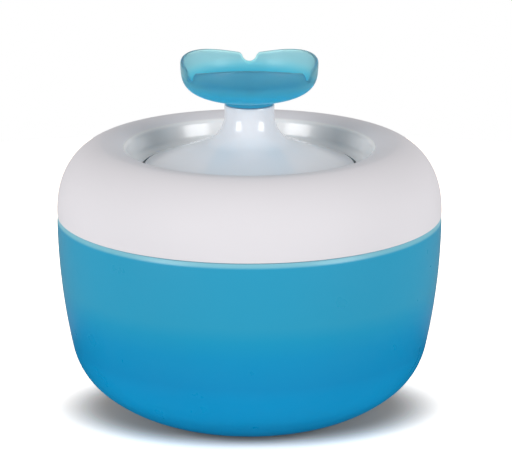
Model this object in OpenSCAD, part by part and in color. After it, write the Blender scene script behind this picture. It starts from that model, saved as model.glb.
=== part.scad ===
// Pet water fountain: a round tank with a submersible pump, a ring cover with a drinking recess,
// a flow cone and an overflow cup with three notches. Millimetres, +Z up, front towards -Y,
// origin on the table under the middle of the tank.

/* [Tank] */
// Radius of the fountain at its widest
body_r = 110; // [104:1:122]
// Height of the tank's rim above the table
rim_z = 118; // [112:1:130]
// Thickness of the tank's wall
tank_wall = 2.8; // [2.4:0.1:3.4]
// Radius of the corner between the side and the underside
corner_r = 42; // [36:1:48]
// Radius of the curve that runs in under the tank
sole_r = 75; // [66:1:84]
// Height of the bevelled band on the rim
rim_band = 2.4; // [1.6:0.1:4]
// Width of that bevel
rim_bevel = 1; // [0.4:0.1:1.4]

/* [Feet] */
// Radius of a rubber foot
foot_r = 7; // [5:0.5:9]
// How far a foot stands proud of the underside
foot_proud = 1.2; // [0.8:0.1:2]
// Depth of the pocket that holds a foot
foot_pocket = 1; // [0.6:0.1:1.3]

/* [Cord gland] */
// Width of the slot in the rim that holds the gland
slot_w = 12; // [10:0.5:15]
// Depth of that slot
slot_depth = 16; // [14:0.5:19]
// Radius of the bore for the cord
gland_r = 2.2; // [1.8:0.1:2.8]

/* [Cover] */
// Height of the cover's crest over the tank's rim
cover_h = 41.1; // [38:0.1:46]
// How far the crest lies outside the recess's mouth
crest_out = 13.6; // [11:0.1:17]
// Thickness of the cover's wall
cover_wall = 2.4; // [2:0.1:3]
// How far the roll-over drops from the crest to its lip
lip_drop = 1.9; // [1.4:0.1:2.4]
// Depth of the spigot that centres the cover in the tank
spigot_depth = 9; // [6:0.5:11]

/* [Recess] */
// Inner radius of the dish ring at its foot
well_r = 62; // [59:0.5:64]
// Depth of that foot under the crest
well_depth = 14.2; // [13:0.1:16]
// How much wider the dish ring is at the recess's mouth
dish_flare = 8.4; // [7.4:0.1:10]
// Lean of its wall from the level, in degrees
dish_lean = 76; // [72:1:84]
// Radius of the bend between its wall and its foot
dish_bend = 5; // [3:0.5:6]
// Thickness of the dish ring
dish_t = 1.6; // [1.2:0.1:2]
// Width of the drain gap between the dish ring and the cone
drain_gap = 2; // [1.5:0.1:3]

/* [Flow cone] */
// Outer radius of the neck
neck_r = 14.2; // [13.8:0.1:15.5]
// Straight length of the neck over the flare
neck_l = 5.6; // [4:0.1:9]
// Radius of the flare between neck and skirt
flare_r = 18; // [14:0.5:22]
// Slope of the skirt in degrees
skirt_slope = 20; // [17:0.5:24]
// Thickness of the cone's wall
cone_wall = 2.2; // [1.8:0.1:2.6]

/* [Spout cup] */
// Outer radius of the cup
cup_r = 39; // [35:0.5:44]
// Depth of the cup from a petal's tip to the underside
cup_h = 24.2; // [20:0.1:28]
// Thickness of the cup's wall
cup_wall = 2.2; // [1.8:0.1:2.6]
// Radius of the collar under the cup
collar_r = 13.6; // [12.8:0.1:14.2]
// Height of that collar
collar_h = 2.8; // [2:0.1:4]
// How far a petal's rim falls from its middle to its corners
petal_fall = 4.2; // [3:0.1:6]
// Radius of a notch's floor
notch_r = 4.3; // [3.6:0.1:5]
// Depth of a notch under its shoulders
notch_depth = 5.5; // [4.4:0.1:6.2]
// Radius of those shoulders
shoulder_r = 3.8; // [3:0.1:4.4]
// Outer radius of the stem
stem_r = 9.9; // [9.6:0.1:10]

/* [Filter] */
// Depth of the filter tray under its flange
tray_depth = 21; // [18:0.5:26]
// Height of the ring filter
filter_h = 14; // [11:0.5:16]
// Number of drain slots in the outer row of the tray's floor
slot_count = 24; // [12:2:30]

/* [Riser] */
// Inner radius of the riser tube
riser_in = 6.6; // [6.4:0.1:6.8]
// Thickness of the riser tube's wall
riser_wall = 1.6; // [1.2:0.1:1.8]

/* [Pump] */
// Width and height of the pump's housing
pump_w = 42; // [41:0.5:46]
// Length of the housing behind its front face
pump_l = 38; // [37.5:0.5:44]
// Gap between the housing and the tank's floor
pump_gap = 6; // [5.5:0.1:8]
// Radius of the impeller's chamber
chamber_r = 13; // [12.5:0.1:13.5]
// Radius of the rotor magnet
magnet_r = 7.4; // [6.8:0.1:7.6]
// Radius of the ceramic shaft
shaft_r = 1.2; // [1:0.05:1.5]
// Number of impeller blades
blade_count = 6; // [4:1:8]
// Depth of the foam block before the intake
foam_l = 12.8; // [10:0.2:16]

/* [Hidden] */
$fn = 96;

// Clearances
lift = 0.3;       // between pieces that lift apart
seat = 0.1;       // between pieces that stay seated on each other
slide = 0.4;      // round a piece that slides into another
running = 0.05;   // round a shaft that turns
cut = 1;          // how far a cutter runs past what it cuts

// Tank outline, as three arcs that meet tangentially; each angle is the wall's lean from the level
side_a = 78.2;
corner_a = 40.9;
sole_a = 9.7;
widest_z = rim_z - rim_band;
side_r = corner_r + (widest_z - foot_proud - (corner_r - sole_r) * cos(corner_a)
    - sole_r * cos(sole_a)) / cos(side_a);
side_c = [body_r - side_r, widest_z];
corner_c = on_arc(side_c, side_r - corner_r, side_a);
sole_c = on_arc(corner_c, corner_r - sole_r, corner_a);
base_r = on_arc(sole_c, sole_r, sole_a)[0];
floor_z = on_arc(sole_c, sole_r - tank_wall, sole_a)[1];
rim_in = body_r - tank_wall;

// Feet and gland
foot_count = 4;
foot_ring_r = base_r - foot_r - 2;
gland_z = rim_z - slot_depth + slot_w / 2;
flange_over = 2.5;
flange_t = 1.6;
gland_flange_y = rim_in - flange_t - 0.9;

// Cover; the two powers shape its superellipse
cover_p = 1.65;
cover_q = 2.44;
cover_z = rim_z + lift;
crest_z = rim_z + cover_h;
mouth_r = well_r + dish_flare;
crest_r = mouth_r + crest_out;
nose_r = cover_wall / 2;
lip_r = mouth_r + dish_t + seat + 0.75 * nose_r;
roll_r = (pow(crest_r - lip_r, 2) + pow(lip_drop, 2)) / (2 * lip_drop);
roll_c = [crest_r, crest_z - roll_r];
roll_a = asin((crest_r - lip_r) / roll_r);
nose_c = on_arc(roll_c, roll_r - nose_r, 180 + roll_a);
spigot_r = rim_in - slide;
spigot_t = 2.2;
spigot_root = 5;
spigot_gap_w = slot_w + 4 * flange_over;

// Recess stack, from the dish ring down to the cover's ledge
ring_foot_z = crest_z - well_depth;
mouth_step = 0.5;
mouth_z = crest_z - lip_drop - mouth_step;
bend_z = ring_foot_z + dish_bend;
dish_wall_h = mouth_z - (bend_z - dish_bend * cos(dish_lean));
bend_c = [mouth_r - dish_wall_h / tan(dish_lean) - dish_bend * sin(dish_lean), bend_z];
tray_wall = 2;
tray_in = well_r + 0.2;
tray_out = tray_in + tray_wall;
hang_r = lip_r + cover_wall * sin(roll_a) + lift;
tray_flange_r = hang_r - slide;
tray_top = ring_foot_z - dish_t - seat;
ledge_top = tray_top - tray_wall - seat;
ledge_r = tray_out + slide;

// Flow cone
skirt_r = well_r - drain_gap;
skirt_z = ring_foot_z + 1.4;
skirt_nose = [skirt_r - cone_wall / 2, skirt_z - cone_wall / 2];
skirt_n = [sin(skirt_slope), cos(skirt_slope)];
skirt_end = skirt_nose + skirt_n * cone_wall / 2;
flare_end_r = neck_r + flare_r - flare_r * sin(skirt_slope);
flare_z = skirt_end[1] + (skirt_end[0] - flare_end_r) * tan(skirt_slope) + flare_r * cos(skirt_slope);
flare_c = [neck_r + flare_r, flare_z];
neck_top = flare_z + neck_l;
riser_out = riser_in + riser_wall;
socket_in = riser_out + 0.2;
socket_wall = 2.6;
socket_out = socket_in + socket_wall;
stem_bore = stem_r + 0.5;
stem_seat_z = neck_top - 15;
flare_fill = 20;
cone_ribs = 6;
rib_t = 1.6;

// Filter tray and ring filter
hub_in = socket_out + slide;
hub_out = hub_in + 2.6;
hub_z = skirt_z + 3.7;
socket_z = hub_z - 15;
tray_floor_z = tray_top - tray_depth;
inner_slots = slot_count * 2 / 3;
slot_width = 3;
frame_z = tray_floor_z + lift;
frame_in = hub_out + 0.8;
frame_out = well_r - 0.7;
frame_wall = 1.4;
frame_floor = 1.2;
carbon_h = (filter_h - frame_floor) * 0.4;

// Spout cup: outline powers of its bowl, petals and collar
bowl_p = 2.6;
bowl_q = 4;
tip_z = neck_top + lift + collar_h + cup_h * pow(1 - pow(collar_r / cup_r, bowl_p), 1 / bowl_q);
petals = 3;
petal_span = cup_r * sin(50);
petal_r = (pow(petal_span, 2) + pow(petal_fall, 2)) / (2 * petal_fall);
shoulder_z = tip_z - petal_fall + 0.2;
notch_z = shoulder_z - notch_depth;
stem_in = 6.8;
ring_r = 1;
groove_r = stem_r - 1.7;
ring_mid_r = groove_r + seat + ring_r;
ring_z = neck_top - 8;

// Pump
pump_z = floor_z + pump_gap;
pump_mid_z = pump_z + pump_w / 2;
pump_corner = 5;
axis_z = pump_z + 26;
front_y = -9;
chamber_l = 14;
rotor_y = front_y + chamber_l;
rotor_bore_r = magnet_r + 0.8;
rotor_bore_l = 18.6;
bush_r = 3;
bush_l = 2.7;
nipple_in = 4.6;
nipple_out = riser_in - seat;
nipple_l = 12;
riser_z = pump_z + pump_w + 1;
outlet_z = axis_z + chamber_r / 2;
inlet_z = pump_z + pump_w - 9;
inlet_l = 3.5;
inlet_wall = 2.2;
inlet_depth = 6;

// Stator: a C of laminations with the coil round its yoke
core_back = 18;
core_y = front_y + core_back;
core_t = 15;
leg_w = 7.2;
leg_in = rotor_bore_r + slide;
leg_out = leg_in + leg_w;
housing_floor = 5;
core_z = pump_z + housing_floor;
yoke_h = 6;
pole_gap = 1.2;
coil_wire = 2.7;
coil_x = leg_in - 2 * slide;

// Impeller
hub_r = magnet_r - 4.3;
blade_r = chamber_r - 1.5;
blade_t = 1.4;
impeller_y = front_y + 1.5;
disc_y = rotor_y - 2.4;
disc_t = 1.2;
magnet_y = disc_y + disc_t + slide;
magnet_l = rotor_y + rotor_bore_l - magnet_y - 1.2;

// Front cover and flow dial
plate_t = 2.8;
plate_y = front_y - 0.2;
window_in = 5.2;
window_out = chamber_r - 3.5;
windows = 3;
window_a = 60;
drum_in = chamber_r - 1;
drum_out = chamber_r + 1;
drum_l = 4;
boss_r = bush_r + 1.4;
boss_l = 5;
boss_y = plate_y - boss_l;
pin_r = 1.5;
pin_l = 3;
dial_t = 1.5;
dial_y = boss_y - lift - dial_t;
bush_front_y = boss_y + 1;
bush_rear_y = rotor_y + rotor_bore_l;

// Suction cups
cup_feet_x = 14;
cup_feet_y = [front_y + 8, front_y + 31];
sucker_r = 7.5;
sucker_stem_r = 2;
sucker_stem_l = 2.2;
sucker_neck_r = 4;
sucker_rise = 3.6;
sucker_hollow = 2.2;
sucker_lip = 0.6;

// Foam block and its cage
cage_wall = 1.4;
cage_lap = 2.4;
foam_y = dial_y - 2.4 - foam_l;
cage_y = foam_y - lift - cage_wall;
cage_slots = 7;

// A point on an arc, and a run of them; angle 0 is the arc's lowest point, 90 its outermost
function on_arc(c, r, a) = c + r * [sin(a), -cos(a)];
function arc(c, r, a0, a1, n) = [for (i = [0:n]) on_arc(c, r, a0 + (a1 - a0) * i / n)];

// A quarter of a superellipse about c, from its side (t = 0) to its end over the middle (t = 90)
function quarter(c, rx, rz, p, q, t0, t1, n) =
    [for (i = [0:n]) let (t = t0 + (t1 - t0) * i / n)
        c + [rx * pow(cos(t), 2 / p), rz * pow(sin(t), 2 / q)]];

function rev(list) = [for (i = [len(list) - 1:-1:0]) list[i]];
function past_first(list) = [for (i = [1:len(list) - 1]) list[i]];

// The tank's side, corner and underside, set in from its outer face
function tank_line(inset) = concat(
    arc(side_c, side_r - inset, 90, side_a, 8),
    past_first(arc(corner_c, corner_r - inset, side_a, corner_a, 8)),
    past_first(arc(sole_c, sole_r - inset, corner_a, sole_a, 7)));

// The roll-over's angle at a given radius, on its face that is set in by depth
function roll_at(r, depth) = 180 + asin((crest_r - r) / (roll_r - depth));

module ring(r_in, r_out, h) {
    difference() {
        cylinder(r = r_out, h = h);
        translate([0, 0, -cut]) cylinder(r = r_in, h = h + 2 * cut);
    }
}

module rounded_rect(w, h, r) {
    square([w - 2 * r, h], center = true);
    square([w, h - 2 * r], center = true);
    for (x = [-1, 1], y = [-1, 1]) translate([x * (w / 2 - r), y * (h / 2 - r)]) circle(r = r);
}

// Places something built along +Z so that it runs towards the rear from y, on the rotor's axis
module on_axis(y) { translate([0, y, axis_z]) rotate([-90, 0, 0]) children(); }

// A block of the pump's square outline that runs towards the rear from y
module pump_block(y, l, grow) {
    translate([0, y, pump_mid_z]) rotate([-90, 0, 0]) linear_extrude(l)
        rounded_rect(pump_w + 2 * grow, pump_w + 2 * grow, pump_corner + grow);
}

module tank_shell() {
    rotate_extrude() polygon(concat(
        [[rim_in, rim_z], [body_r - rim_bevel, rim_z]],
        tank_line(0), [[0, foot_proud], [0, floor_z]], rev(tank_line(tank_wall))));
}

// The slot's outline through the rear wall, open at the rim
module gland_slot(w) {
    translate([0, rim_in - 6, gland_z]) rotate([-90, 0, 0]) linear_extrude(tank_wall + 12) {
        circle(d = w);
        translate([-w / 2, -slot_depth]) square([w, slot_depth]);
    }
}

module each_foot() {
    for (i = [0:foot_count - 1]) rotate([0, 0, 45 + 360 * i / foot_count])
        translate([foot_ring_r, 0, 0]) children();
}

module tank() {
    color("deepskyblue", 0.8) difference() {
        tank_shell();
        gland_slot(slot_w);
        each_foot() cylinder(r = foot_r + seat, h = foot_proud + foot_pocket);
    }
}

module rubber_feet() {
    color("dimgray") each_foot() rotate_extrude() polygon([
        [0, 0], [foot_r - 0.8, 0], [foot_r, 0.8],
        [foot_r, foot_proud + foot_pocket - seat], [0, foot_proud + foot_pocket - seat]]);
}

module cable_gland() {
    color("gray") difference() {
        union() {
            intersection() {
                tank_shell();
                gland_slot(slot_w - 2 * seat);
            }
            translate([0, gland_flange_y, gland_z]) rotate([-90, 0, 0])
                cylinder(d = slot_w + 2 * flange_over, h = flange_t);
            translate([0, gland_flange_y, gland_z]) rotate([-90, 0, 0])
                cylinder(d = slot_w - 2 * seat, h = flange_t + 1.5);
        }
        translate([0, rim_in - 8, gland_z]) rotate([-90, 0, 0]) cylinder(r = gland_r, h = 16);
    }
}

module top_cover() {
    inner_c = [crest_r, cover_z];
    rz = crest_z - cover_z;
    root_t = asin(pow(spigot_root / (rz - cover_wall), cover_q / 2));
    color("white") difference() {
        rotate_extrude() polygon(concat(
            quarter(inner_c, body_r - crest_r, rz, cover_p, cover_q, 0, 90, 18),
            past_first(arc(roll_c, roll_r, 180, 180 + roll_a, 7)),
            past_first(arc(nose_c, nose_r, 180 + roll_a, 360 + roll_a, 6)),
            past_first(arc(roll_c, roll_r - cover_wall, 180 + roll_a, roll_at(hang_r, cover_wall), 2)),
            [[hang_r, ledge_top], [ledge_r, ledge_top], [ledge_r, ledge_top - cover_wall],
                [hang_r + cover_wall, ledge_top - cover_wall]],
            arc(roll_c, roll_r - cover_wall, roll_at(hang_r + cover_wall, cover_wall), 180, 5),
            past_first(quarter(inner_c, body_r - crest_r - cover_wall, rz - cover_wall, cover_p, cover_q,
                90, root_t, 16)),
            [[spigot_r - spigot_t, cover_z + spigot_root], [spigot_r - spigot_t, rim_z - spigot_depth],
                [spigot_r, rim_z - spigot_depth], [spigot_r, cover_z]]));
        translate([-spigot_gap_w / 2, body_r - 20, rim_z - spigot_depth - cut])
            cube([spigot_gap_w, 20 - (body_r - spigot_r) + lift, spigot_depth + cut + lift]);
    }
}

// The dish ring's wall, bend and foot, set out from its inner face
function dish_line(inset) = concat(
    [on_arc(bend_c, dish_bend + inset, dish_lean)
        + dish_wall_h / sin(dish_lean) * [cos(dish_lean), sin(dish_lean)]],
    arc(bend_c, dish_bend + inset, dish_lean, 0, 6),
    [[well_r, ring_foot_z - inset]]);

module dish_ring() {
    color("white") rotate_extrude() polygon(concat(dish_line(0), rev(dish_line(dish_t))));
}

// A row of radial slots through a floor
module radial_slots(n, r0, r1, z, t) {
    for (i = [0:n - 1]) rotate([0, 0, 360 * i / n])
        translate([r0, -slot_width / 2, z - cut]) cube([r1 - r0, slot_width, t + 2 * cut]);
}

module filter_tray() {
    mid_r = (hub_out + tray_in) * 0.48;
    color("gainsboro") difference() {
        rotate_extrude() polygon([
            [hub_in, tray_floor_z - tray_wall], [tray_out, tray_floor_z - tray_wall],
            [tray_out, tray_top - tray_wall], [tray_flange_r, tray_top - tray_wall],
            [tray_flange_r, tray_top], [tray_in, tray_top], [tray_in, tray_floor_z],
            [hub_out, tray_floor_z], [hub_out, hub_z], [hub_in, hub_z]]);
        radial_slots(inner_slots, hub_out + 4, mid_r - 2, tray_floor_z - tray_wall, tray_wall);
        radial_slots(slot_count, mid_r + 2, tray_in - 3, tray_floor_z - tray_wall, tray_wall);
    }
}

module filter_frame() {
    color("whitesmoke") translate([0, 0, frame_z]) difference() {
        ring(frame_in, frame_out, filter_h);
        translate([0, 0, frame_floor]) ring(frame_in + frame_wall, frame_out - frame_wall, filter_h);
        radial_slots(inner_slots, frame_in + 4, frame_out - 4, 0, frame_floor);
    }
}

module carbon_bed() {
    color("black") translate([0, 0, frame_z + frame_floor + seat])
        ring(frame_in + frame_wall + seat, frame_out - frame_wall - seat, carbon_h);
}

module filter_fleece() {
    color("ivory") translate([0, 0, frame_z + frame_floor + carbon_h + 2 * seat])
        ring(frame_in + frame_wall + seat, frame_out - frame_wall - seat,
            filter_h - frame_floor - carbon_h - 4 * seat);
}

// The flare and the skirt, set in from the cone's outer face
function cone_line(inset, a0) = concat(
    [for (i = [0:9]) let (b = a0 + (90 - skirt_slope - a0) * i / 9)
        flare_c - (flare_r + inset) * [cos(b), sin(b)]],
    [skirt_end - inset * skirt_n]);

module flow_cone() {
    rib_line = cone_line(cone_wall / 2, flare_fill);
    rib_z = hub_z + lift;
    rib_end = skirt_end - skirt_n * cone_wall / 2;
    rib_r = rib_end[0] - (rib_z - rib_end[1]) / tan(skirt_slope);
    color("white") {
        rotate_extrude() polygon(concat(
            [[stem_bore, neck_top], [neck_r - 0.5, neck_top], [neck_r, neck_top - 0.5]],
            cone_line(0, 0),
            [for (i = [1:6]) skirt_nose + cone_wall / 2 * [cos(90 - skirt_slope - 30 * i),
                sin(90 - skirt_slope - 30 * i)]],
            past_first(rev(cone_line(cone_wall, flare_fill))),
            [[socket_out, cone_line(cone_wall, flare_fill)[0][1]], [socket_out, socket_z],
                [socket_in, socket_z], [socket_in, stem_seat_z], [stem_bore, stem_seat_z]]));
        for (i = [0:cone_ribs - 1]) rotate([90, 0, 360 * (i + 0.5) / cone_ribs])
            linear_extrude(rib_t, center = true) polygon(concat(
                [[socket_out - 0.5, rib_z]], [[socket_out - 0.5, rib_line[0][1]]],
                [for (p = rib_line) if (p[1] > rib_z) p], [[rib_r, rib_z]]));
    }
}

module spout_o_ring() {
    color("black") translate([0, 0, ring_z]) rotate_extrude() translate([ring_mid_r, 0]) circle(r = ring_r);
}

// The cup's bowl as a solid of revolution about its stem
module cup_bowl() {
    top = [0, tip_z];
    collar_t = acos(pow(collar_r / cup_r, bowl_p / 2));
    well_t = acos(pow(stem_in / (cup_r - cup_wall), bowl_p / 2));
    rotate_extrude() polygon(concat(
        quarter(top, cup_r, -cup_h, bowl_p, bowl_q, 0, collar_t, 16),
        [[collar_r, neck_top + lift], [stem_r, neck_top + lift], [stem_r, ring_z + ring_r + seat],
            [groove_r, ring_z + ring_r + seat], [groove_r, ring_z - ring_r - seat],
            [stem_r, ring_z - ring_r - seat], [stem_r, stem_seat_z + 2], [stem_r - 0.6, stem_seat_z + 1.4],
            [stem_in, stem_seat_z + 1.4]],
        rev(quarter(top, cup_r - cup_wall, cup_wall - cup_h, bowl_p, bowl_q, 0, well_t, 16))));
}

// What lies over a petal's arched rim, seen along its own direction
module over_petal() {
    half = petal_span + 3;
    a = asin(half / petal_r);
    rotate([90, 0, 90]) linear_extrude(cup_r + cut) polygon(concat(
        [for (i = [-8:8]) [petal_r * sin(a * i / 8), tip_z - petal_r * (1 - cos(a * i / 8))]],
        [[half, tip_z + cut], [-half, tip_z + cut]]));
}

// A notch seen along its own direction: a round floor that runs tangentially into round shoulders
module notch() {
    lean = acos(1 - notch_depth / (notch_r + shoulder_r));
    reach = (notch_r + shoulder_r) * sin(lean);
    half = concat(
        [for (i = [0:6]) let (a = lean * i / 6) [notch_r * sin(a), notch_z + notch_r * (1 - cos(a))]],
        [for (i = [5:-1:-1]) let (a = lean * i / 6)
            [reach - shoulder_r * sin(a), shoulder_z - shoulder_r * (1 - cos(a))]],
        [[reach + shoulder_r * sin(lean / 6), tip_z + cut]]);
    rotate([90, 0, 90]) linear_extrude(cup_r + cut)
        polygon(concat(half, [for (p = rev(past_first(half))) [-p[0], p[1]]]));
}

module spout_cup() {
    color("deepskyblue", 0.7) difference() {
        cup_bowl();
        for (i = [0:petals - 1]) {
            rotate([0, 0, 30 + 360 * i / petals]) over_petal();
            rotate([0, 0, 90 + 360 * i / petals]) notch();
        }
    }
}

module riser_tube() {
    color("lightgray") translate([0, 0, riser_z]) ring(riser_in, riser_out, stem_seat_z - 1 - riser_z);
}

// The laminated core: yoke below, and two legs that end in concave pole faces beside the rotor
module core_shape(grow) {
    z0 = core_z - grow;
    h = axis_z + rotor_bore_r - z0 + grow;
    translate([0, core_y - grow, 0]) difference() {
        translate([-leg_out - grow, 0, z0]) cube([2 * (leg_out + grow), core_t + 2 * grow, h]);
        translate([-leg_in + grow, -cut, core_z + yoke_h + grow])
            cube([2 * (leg_in - grow), core_t + 2 * (grow + cut), h]);
        translate([0, -cut, axis_z]) rotate([-90, 0, 0])
            cylinder(r = rotor_bore_r + pole_gap - grow, h = core_t + 2 * (grow + cut));
    }
}

module coil_shape(grow) {
    w = coil_wire + grow;
    translate([-coil_x - grow, core_y - slide - w, core_z - slide - w])
        cube([2 * (coil_x + grow), core_t + 2 * (slide + w), yoke_h + 2 * (slide + w)]);
}

module stator_core() { color("slategray") core_shape(0); }

module stator_coil() {
    color("chocolate") difference() {
        coil_shape(0);
        translate([-coil_x - cut, core_y - slide, core_z - slide])
            cube([2 * (coil_x + cut), core_t + 2 * slide, yoke_h + 2 * slide]);
    }
}

// Places something built along +Z so that it runs towards the rear from y behind the pump's back
module cord_inlet(y) { translate([0, front_y + pump_l + y, inlet_z]) rotate([-90, 0, 0]) children(); }

module each_sucker() {
    for (x = [-cup_feet_x, cup_feet_x], y = cup_feet_y) translate([x, y, 0]) children();
}

module pump_housing() {
    color("darkslategray") difference() {
        union() {
            pump_block(front_y, pump_l, 0);
            translate([0, 0, outlet_z]) cylinder(r = nipple_out, h = pump_z + pump_w + nipple_l - outlet_z);
            cord_inlet(-cut) cylinder(r = gland_r + inlet_wall, h = inlet_l + cut);
        }
        on_axis(front_y - cut) cylinder(r = chamber_r, h = chamber_l + cut);
        on_axis(rotor_y - cut) cylinder(r = rotor_bore_r, h = rotor_bore_l + cut);
        on_axis(bush_rear_y - cut) cylinder(r = bush_r + seat, h = bush_l + seat + cut);
        cord_inlet(inlet_l - inlet_depth) cylinder(r = gland_r, h = inlet_depth + cut);
        translate([0, 0, outlet_z]) cylinder(r = nipple_in, h = pump_w);
        core_shape(seat);
        coil_shape(seat);
        each_sucker() translate([0, 0, pump_z - cut])
            cylinder(r = sucker_stem_r + seat, h = sucker_stem_l + cut);
    }
}

module window_sectors(r0, r1) {
    for (i = [0:windows - 1]) rotate(360 * i / windows) intersection() {
        difference() {
            circle(r = r1);
            circle(r = r0);
        }
        polygon([[0, 0], 2 * r1 * [cos(-window_a / 2), sin(-window_a / 2)],
            2 * r1 * [cos(window_a / 2), sin(window_a / 2)]]);
    }
}

module pump_front_cover() {
    color("darkslategray") difference() {
        union() {
            pump_block(plate_y - plate_t, plate_t, 0);
            on_axis(plate_y - plate_t - drum_l) ring(drum_in, drum_out, drum_l + cut / 2);
            on_axis(plate_y - cut / 2) ring(drum_in - 0.2, chamber_r - 0.2, 1.2 + cut / 2);
            on_axis(boss_y) cylinder(r = boss_r, h = boss_l);
            on_axis(boss_y - pin_l) cylinder(r = pin_r, h = pin_l + cut / 2);
        }
        on_axis(bush_front_y) cylinder(r = bush_r + seat, h = boss_l);
        on_axis(plate_y - plate_t - cut) linear_extrude(plate_t + 2 * cut)
            window_sectors(window_in, window_out);
    }
}

module flow_dial() {
    color("royalblue") difference() {
        union() {
            on_axis(dial_y) cylinder(r = drum_in - lift, h = dial_t);
            translate([-1, dial_y - 1.8, axis_z + window_out]) cube([2, 2, 2]);
        }
        on_axis(dial_y - cut) cylinder(r = pin_r + running, h = dial_t + 2 * cut);
        on_axis(dial_y - cut) linear_extrude(dial_t + 2 * cut) window_sectors(window_in, window_out - 0.5);
    }
}

module impeller() {
    color("lightgray") difference() {
        union() {
            on_axis(impeller_y) cylinder(r = hub_r, h = magnet_y + magnet_l - impeller_y);
            on_axis(disc_y) cylinder(r = blade_r, h = disc_t);
            for (i = [0:blade_count - 1])
                on_axis(impeller_y) rotate([0, 0, 360 * (i + 0.5) / blade_count])
                    translate([0, -blade_t / 2, 0])
                        cube([blade_r - seat, blade_t, disc_y - impeller_y + disc_t / 2]);
        }
        on_axis(impeller_y - cut) cylinder(r = shaft_r + running, h = pump_l);
    }
}

module rotor_magnet() {
    color("dimgray") on_axis(magnet_y) ring(hub_r + seat, magnet_r, magnet_l);
}

module rotor_shaft() {
    color("white") on_axis(bush_front_y + seat)
        cylinder(r = shaft_r, h = bush_rear_y + bush_l - bush_front_y - 2 * seat);
}

module shaft_bush(y) {
    color("black") on_axis(y) ring(shaft_r + running / 2, bush_r, bush_l);
}

module shaft_bush_front() { shaft_bush(bush_front_y + seat); }
module shaft_bush_rear() { shaft_bush(bush_rear_y); }

module suction_cups() {
    top = pump_z - seat;
    low = floor_z + seat;
    color("lightblue") each_sucker() rotate_extrude() polygon([
        [0, low + sucker_hollow], [sucker_r - 3 * sucker_lip, low + sucker_lip],
        [sucker_r - sucker_lip, low], [sucker_r, low + sucker_lip],
        [sucker_neck_r, low + sucker_rise], [sucker_neck_r, top], [sucker_stem_r, top],
        [sucker_stem_r, top + sucker_stem_l], [0, top + sucker_stem_l]]);
}

module prefilter_cage() {
    slot_pitch = (pump_w - 2 * pump_corner) / (cage_slots - 1);
    color("steelblue") difference() {
        pump_block(cage_y, plate_y - plate_t + cage_lap - cage_y, slide + cage_wall);
        pump_block(cage_y + cage_wall, pump_l, slide);
        for (i = [0:cage_slots - 1])
            translate([(i - (cage_slots - 1) / 2) * slot_pitch - slot_width / 2, cage_y - cut,
                pump_mid_z - pump_w / 2 + pump_corner])
                cube([slot_width, cage_wall + 2 * cut, pump_w - 2 * pump_corner]);
    }
}

module foam_prefilter() {
    color("gray") pump_block(foam_y, foam_l, -lift);
}

tank();
rubber_feet();
cable_gland();
top_cover();
dish_ring();
filter_tray();
filter_frame();
filter_fleece();
carbon_bed();
flow_cone();
spout_o_ring();
spout_cup();
riser_tube();
pump_housing();
pump_front_cover();
flow_dial();
impeller();
rotor_magnet();
rotor_shaft();
shaft_bush_front();
shaft_bush_rear();
stator_core();
stator_coil();
suction_cups();
prefilter_cage();
foam_prefilter();
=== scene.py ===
"""Looks of the pet water fountain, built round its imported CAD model.

Metres, +Z up, front towards -Y, origin on the table under the middle of the tank.
Outlines are given in millimetres, as in the CAD model, and turned into metres by MM.
"""
import math
import random

import bmesh
import bpy
from mathutils import Matrix, Vector, noise as fractal

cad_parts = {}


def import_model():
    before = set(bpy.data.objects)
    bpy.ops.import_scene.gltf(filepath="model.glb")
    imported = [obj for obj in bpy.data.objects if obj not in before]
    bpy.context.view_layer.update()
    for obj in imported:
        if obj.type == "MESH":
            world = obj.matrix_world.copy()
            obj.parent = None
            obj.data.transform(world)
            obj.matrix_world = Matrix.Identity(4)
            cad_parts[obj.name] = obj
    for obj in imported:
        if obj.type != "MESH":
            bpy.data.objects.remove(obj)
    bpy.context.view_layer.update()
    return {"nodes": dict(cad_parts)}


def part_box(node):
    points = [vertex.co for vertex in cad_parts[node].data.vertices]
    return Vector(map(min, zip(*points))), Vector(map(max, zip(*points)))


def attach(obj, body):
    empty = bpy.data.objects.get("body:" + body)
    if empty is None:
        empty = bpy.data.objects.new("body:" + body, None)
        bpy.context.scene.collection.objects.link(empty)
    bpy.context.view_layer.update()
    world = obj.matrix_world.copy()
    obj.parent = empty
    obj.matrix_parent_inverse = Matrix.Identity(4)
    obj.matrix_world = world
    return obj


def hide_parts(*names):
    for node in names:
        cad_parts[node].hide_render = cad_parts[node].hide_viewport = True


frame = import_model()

MM = 0.001

# ---------------------------------------------------------------- the CAD model's sizes
# Lengths in millimetres, angles in degrees.

# Clearances: between stacked pieces, between faces that seat, and between pieces that slide
LIFT = 0.3
SEAT = 0.1
SLIDE = 0.4

# Tank: CORNER_R and SOLE_R are the arcs of its foot corner and its underside, and the arcs end at the angles
BODY_R = 110.0
RIM_Z = 118.0
TANK_WALL = 2.8
CORNER_R = 42.0
SOLE_R = 75.0
SIDE_A, CORNER_A, SOLE_A = 78.2, 40.9, 9.7
RIM_BAND = 2.4
RIM_BEVEL = 1.0
FOOT_PROUD = 1.2
SLOT_W = 12.0
SLOT_DEPTH = 16.0
GLAND_FLANGE = 2.5

# Recess: from the dish ring's foot out to its mouth
WELL_R = 62.0
WELL_DEPTH = 14.2
DISH_FLARE = 8.4
DISH_LEAN = 76.0
DISH_BEND = 5.0
DISH_T = 1.6
DRAIN_GAP = 2.0
MOUTH_STEP = 0.5
TRAY_PLAY = 0.2
TRAY_WALL = 2.0

# Cover: from the recess's mouth over the crest to its side, a superellipse with two powers
COVER_H = 41.1
CREST_OUT = 13.6
COVER_WALL = 2.4
COVER_P, COVER_Q = 1.65, 2.44
LIP_DROP = 1.9
SPIGOT_DEPTH = 9.0
SPIGOT_T = 2.2
SPIGOT_ROOT = 5.0
SPIGOT_GAP_IN = 20.0

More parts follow.
